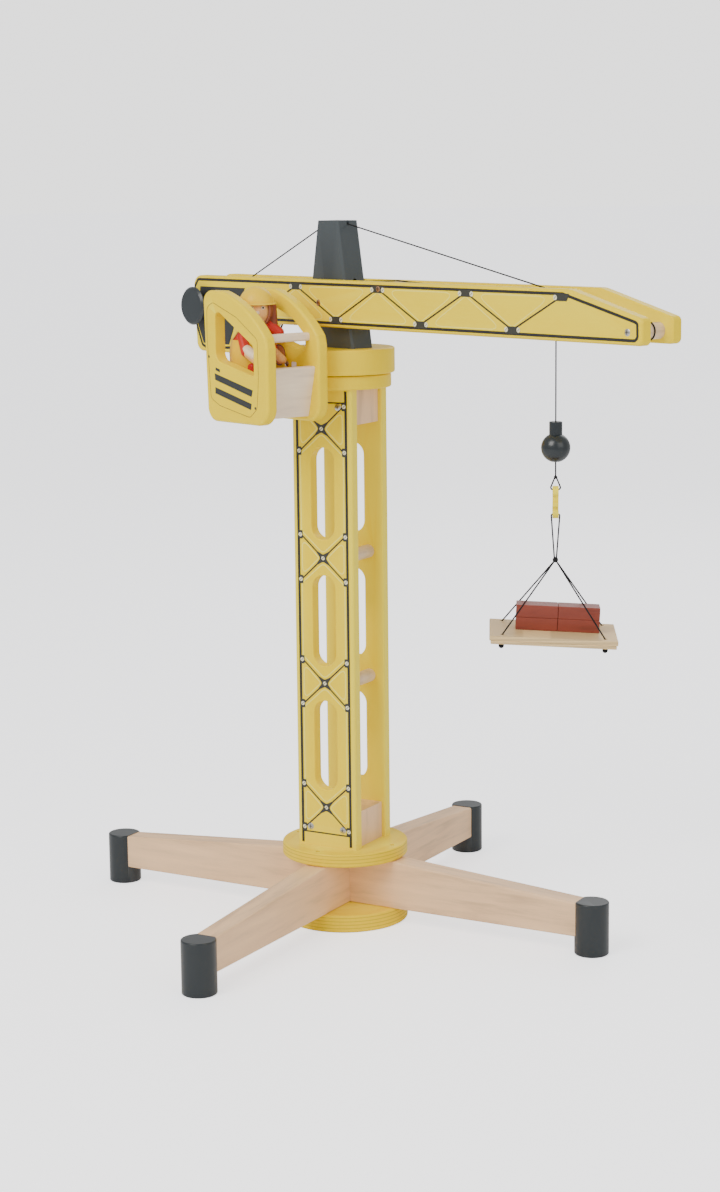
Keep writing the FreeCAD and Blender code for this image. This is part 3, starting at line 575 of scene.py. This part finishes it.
def jib_prints(side, name):
    out = Vector((0, side, 0))
    origin = out * JIB_FACE
    dark = Print(origin, (1, 0, 0), out, 2)
    light = Print(origin, (1, 0, 0), out, 1)
    gusset = Print(origin, (1, 0, 0), out, 3)
    bolt = Print(origin, (1, 0, 0), out, 4)
    slots = Print(origin, (1, 0, 0), out, 5)
    weight = Print(origin, (1, 0, 0), out, 3)
    top, bottom = 0.5271, 0.4967
    border = [(-0.1610, top), (0.2759, top), (0.3467, 0.5097), (0.3490, 0.5086), (0.3493, 0.4990),
              (0.3470, bottom), (-0.0950, bottom), (-0.1120, 0.4712), (-0.1506, 0.4700),
              (-0.1566, 0.4720), (-0.1640, 0.4884), (-0.1657, 0.5210)]
    dark.line(rounded(border, 0.0035, 4), 0.0022, True)
    uppers = (-0.0285, 0.0730, 0.1740, 0.2750)
    lowers = (-0.0790, 0.0220, 0.1233, 0.2243)
    for low, high in zip(lowers, uppers):
        dark.line([(low, JIB_LOWER), (high, JIB_UPPER)], JIB_LINE)
    for high, low in zip(uppers, lowers[1:]):
        dark.line([(high, JIB_UPPER), (low, JIB_LOWER)], JIB_LINE)
    dark.line([(-0.0935, 0.5165), (lowers[0], JIB_LOWER)], JIB_LINE)
    marks = [(x, 0.5243, 1) for x in uppers] + [(x, 0.4996, -1) for x in lowers]
    for x, z, sign in marks:
        gusset.shape(rounded([(x - 0.0082, z + sign * 0.0030), (x + 0.0082, z + sign * 0.0030),
                              (x + 0.0052, z - sign * 0.0024), (x - 0.0052, z - sign * 0.0024)], 0.001))
        for dx in (-0.0065, 0.0065):
            if x + dx < 0.2745:
                bolt.disc(x + dx, z, 0.0019, 16)
                slots.line([(x + dx - 0.0010, z - 0.0009), (x + dx + 0.0010, z + 0.0009)], 0.0004)
    for low, high, nxt in zip(lowers, uppers, lowers[1:]):
        cell = [(low + JIB_CELL_GAP, 0.4990), (nxt - JIB_CELL_GAP, 0.4990), (high, 0.5225)]
        light.line(rounded(cell, 0.0040), JIB_OUTLINE, True)
    for high, low, nxt in zip(uppers, lowers[1:], uppers[1:]):
        cell = [(high + JIB_CELL_GAP, 0.5247), (nxt - JIB_CELL_GAP, 0.5247), (low, 0.5013)]
        light.line(rounded(cell, 0.0040), JIB_OUTLINE, True)
    weight.shape([(-0.1580, 0.5212), (-0.1620, 0.4890), (-0.1550, 0.4735), (-0.1190, 0.4735),
                  (-0.0960, 0.5212)])
    light.make(name + "_light", LIGHT_INK, "superstructure")
    dark.make(name + "_lines", BLACK_INK, "superstructure")
    gusset.make(name + "_gussets", GUSSET_INK, "superstructure")
    bolt.make(name + "_bolts", BOLT_INK, "superstructure")
    slots.make(name + "_bolt_slots", BLACK_INK, "superstructure")
    weight.make(name + "_counterweight", GREY_INK, "superstructure")


# Prints of the cab, and a painted highlight on its far wall

def cab_prints():
    out = Vector((0, -1, 0))
    origin = Vector((0, CAB_NEAR, 0))
    thin = Print(origin, (1, 0, 0), out, 1)
    outline = [(-0.0354, 0.5108), (-0.0279, 0.5152), (0.0027, 0.5043), (0.0288, 0.4882), (0.0296, 0.4590),
               (0.0272, 0.4345), (0.0183, 0.4273), (-0.0207, 0.4343), (-0.0320, 0.4395), (-0.0358, 0.4880)]
    thin.line(rounded(outline, 0.0060), 0.00045, True)
    bold = Print(origin, (1, 0, 0), out, 2)
    bold.shape([(-0.0254, 0.4642), (-0.0197, 0.4628), (-0.0197, 0.4605), (-0.0254, 0.4619)])
    bold.shape([(-0.0268, 0.4595), (0.0222, 0.4487), (0.0205, 0.4435), (-0.0262, 0.4543)])
    bold.shape([(-0.0262, 0.4486), (0.0205, 0.4381), (0.0195, 0.4333), (-0.0262, 0.4437)])
    bold.disc(-0.0338, 0.4723, 0.0011, 12)
    bold.disc(0.0250, 0.4350, 0.0011, 12)
    thin.make("cab_print_line", BROWN_INK, "superstructure")
    bold.make("cab_print_stripes", GREY_INK, "superstructure")
    inner = Print((0, CAB_FAR_INNER, 0), (1, 0, 0), (0, -1, 0), 1)
    inner.disc(*DIAL, DIAL_RADIUS, 28)
    inner.make("cab_dial", ORANGE_INK, "superstructure")
    ring = Print((0, CAB_FAR_INNER, 0), (1, 0, 0), (0, -1, 0), 2)
    ring.arc(*DIAL, DIAL_RADIUS, 0, 360, 0.0009, 32)
    ring.disc(*DIAL, 0.0014, 14)
    ring.make("cab_dial_ring", BROWN_INK, "superstructure")
    # A small white patch on the far wall's inner face: a painted highlight of the paint's sheen.
    patch = Print((0, CAB_FAR_INNER, 0), (1, 0, 0), (0, -1, 0), 2)
    patch.shape(rounded([(0.0070, 0.4675), (0.0130, 0.4675), (0.0130, 0.4625), (0.0070, 0.4625)], 0.0012))
    patch.make("cab_painted_highlight", WHITE_INK_AND_HIGHLIGHT, "superstructure")


mast_prints(-1, "mast_print_near")
mast_prints(1, "mast_print_far")
jib_prints(-1, "jib_print_near")
jib_prints(1, "jib_print_far")
cab_prints()


# The driver's face and hair

def aimed(yaw, pitch):
    """The unit vector at this yaw and pitch, where yaw 0 is +X and pitch 0 is level."""
    return Vector((math.cos(pitch) * math.cos(yaw), math.cos(pitch) * math.sin(yaw), math.sin(pitch)))


def ball_patch(name, centre, radius, yaw, pitch, size, material, height=0.0):
    """A small disc bent onto the head, which a height makes into a bump."""
    direction = aimed(yaw, pitch)
    side = Vector((-math.sin(yaw), math.cos(yaw), 0))
    up = direction.cross(side)
    points, faces = [centre + direction * (radius + FACE_LIFT + height)], []
    rings, count = 4, 20
    for r in range(1, rings + 1):
        spread = size * r / rings
        rise = height * math.sqrt(max(0.0, 1 - (r / rings) ** 2))
        for i in range(count):
            a = i * 2 * math.pi / count
            aim = (direction * radius + side * spread * math.cos(a) + up * spread * math.sin(a)).normalized()
            points.append(centre + aim * (radius + FACE_LIFT + rise))
    for i in range(count):
        faces.append((0, 1 + i, 1 + (i + 1) % count))
    for r in range(rings - 1):
        for i in range(count):
            a, b = 1 + r * count + i, 1 + r * count + (i + 1) % count
            faces.append((a, a + count, b + count, b))
    return mesh_object(name, points, faces, material, "driver", True)


def wrapped_oval(name, centre, profile, material, body, first=0.0, last=360.0, grow=0.0):
    """A smooth skin round an upright axis: profile rows are (height, half length, half width, lean)."""
    columns = 36
    points, faces = [], []
    for z, rx, ry, lean in profile:
        for i in range(columns + 1):
            a = math.radians(first + (last - first) * i / columns)
            x = centre[0] + lean + (rx + grow) * math.cos(a)
            points.append((x, centre[1] + (ry + grow) * math.sin(a), z))
    for row in range(len(profile) - 1):
        for i in range(columns):
            k = row * (columns + 1) + i
            faces.append((k, k + 1, k + columns + 2, k + columns + 1))
    return mesh_object(name, points, faces, material, body, True)


def peg(name, start, end, radius, material, body):
    """A round-ended peg between two points."""
    start, end = Vector(start), Vector(end)
    axis = (end - start).normalized()
    side = axis.orthogonal().normalized()
    other = axis.cross(side)
    rings, columns = 8, 24
    rows = [(start, math.radians(-90 + 90 * i / rings)) for i in range(rings + 1)]
    rows += [(end, math.radians(90 * i / rings)) for i in range(rings + 1)]
    points, faces = [], []
    for middle, pitch in rows:
        for i in range(columns):
            a = i * 2 * math.pi / columns
            around = side * math.cos(a) + other * math.sin(a)
            points.append(middle + (axis * math.sin(pitch) + around * math.cos(pitch)) * radius)
    for row in range(len(rows) - 1):
        for i in range(columns):
            a, b = row * columns + i, row * columns + (i + 1) % columns
            faces.append((a, b, b + columns, a + columns))
    return mesh_object(name, points, faces, material, body, True)


FACE_YAW = math.radians(-33)
FACE_OPENING = 45
for label, shift in (("left", -0.39), ("right", 0.39)):
    ball_patch("eye_white_" + label, HEAD, HEAD_RADIUS, FACE_YAW + shift, 0.22, 0.0014, WHITE_INK_AND_HIGHLIGHT)
    ball_patch("eye_pupil_" + label, HEAD, HEAD_RADIUS + 0.0001, FACE_YAW + shift, 0.22, 0.0009, BLACK_INK)
ball_patch("nose", HEAD, HEAD_RADIUS, FACE_YAW, -0.10, 0.0016, WOOD_CAB, 0.0009)


def hair():
    """A shell over the back and sides of the head, down to the neck."""
    points, faces = [], []
    columns, rows = 36, 12
    for row in range(rows + 1):
        pitch = math.radians(32 - 92 * row / rows)
        for column in range(columns + 1):
            yaw = FACE_YAW + math.radians(FACE_OPENING + (360 - 2 * FACE_OPENING) * column / columns)
            points.append(HEAD + aimed(yaw, pitch) * (HEAD_RADIUS + 0.0012))
    for row in range(rows):
        for column in range(columns):
            a = row * (columns + 1) + column
            faces.append((a, a + columns + 1, a + columns + 2, a + 1))
    piece = mesh_object("hair", points, faces, DOLL_HAIR, "driver", True)
    thick = piece.modifiers.new("thickness", "SOLIDIFY")
    thick.thickness = 0.0012
    thick.offset = 0


def driver_clothes():
    """Shirt, bib with straps, the near forearm, the neckerchief's end and a plait beside the face."""
    middle = (-0.0215, DRIVER_Y - 0.002)
    rows = [(0.4550, 0.0130, 0.0112, 0.0), (0.4620, 0.0148, 0.0122, 0.0), (0.4750, 0.0155, 0.0125, 0.0),
            (0.4850, 0.0138, 0.0118, 0.0012), (0.4920, 0.0095, 0.0088, 0.0045),
            (0.4965, 0.0050, 0.0050, 0.0080)]
    wrapped_oval("driver_shirt", middle, rows, DOLL_RED, "driver")
    wrapped_oval("driver_bib", middle, rows[:4], DOLL_YELLOW, "driver", -150, 60, 0.0005)
    for label, yaw in (("near", -118.0), ("far", 28.0)):
        wrapped_oval("driver_strap_" + label, middle, rows[3:5], DOLL_YELLOW, "driver",
                     yaw - 11, yaw + 11, 0.0006)
    peg("driver_forearm_near", (-0.0072, -0.0882, 0.4780), (0.0025, -0.0882, 0.4735), 0.0039, WOOD_CAB,
        "driver")
    peg("driver_scarf_end", (-0.0060, -0.0670, 0.4970), (0.0000, -0.0615, 0.4905), 0.0042, DOLL_RED,
        "driver")
    peg("hair_plait", (-0.0049, -0.0641, 0.5110), (-0.0039, -0.0639, 0.4975), 0.0036, DOLL_HAIR,
        "driver")


hair()
driver_clothes()


# The hanging line: a straight cord at the hook's place, as long as the drop part, which it replaces

def hoist_drop():
    radius, count, steps = 0.00055, 12, 40
    low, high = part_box("hoist_line_drop")
    points, faces = [], []
    for k in range(steps + 1):
        z = high.z + (low.z - high.z) * k / steps
        for i in range(count):
            a = i * 2 * math.pi / count
            points.append((HANG_X + radius * math.cos(a), radius * math.sin(a), z))
    for k in range(steps):
        for i in range(count):
            a, b = k * count + i, k * count + (i + 1) % count
            faces.append((a, b, b + count, a + count))
    mesh = bpy.data.meshes.new("hoist_line_hanging")
    mesh.from_pydata(points, [], faces)
    mesh.update()
    mesh.shade_smooth()
    mesh.materials.append(CORD)
    piece = bpy.data.objects.new("hoist_line_hanging", mesh)
    bpy.context.scene.collection.objects.link(piece)
    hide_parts("hoist_line_drop")
    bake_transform(piece)


hoist_drop()
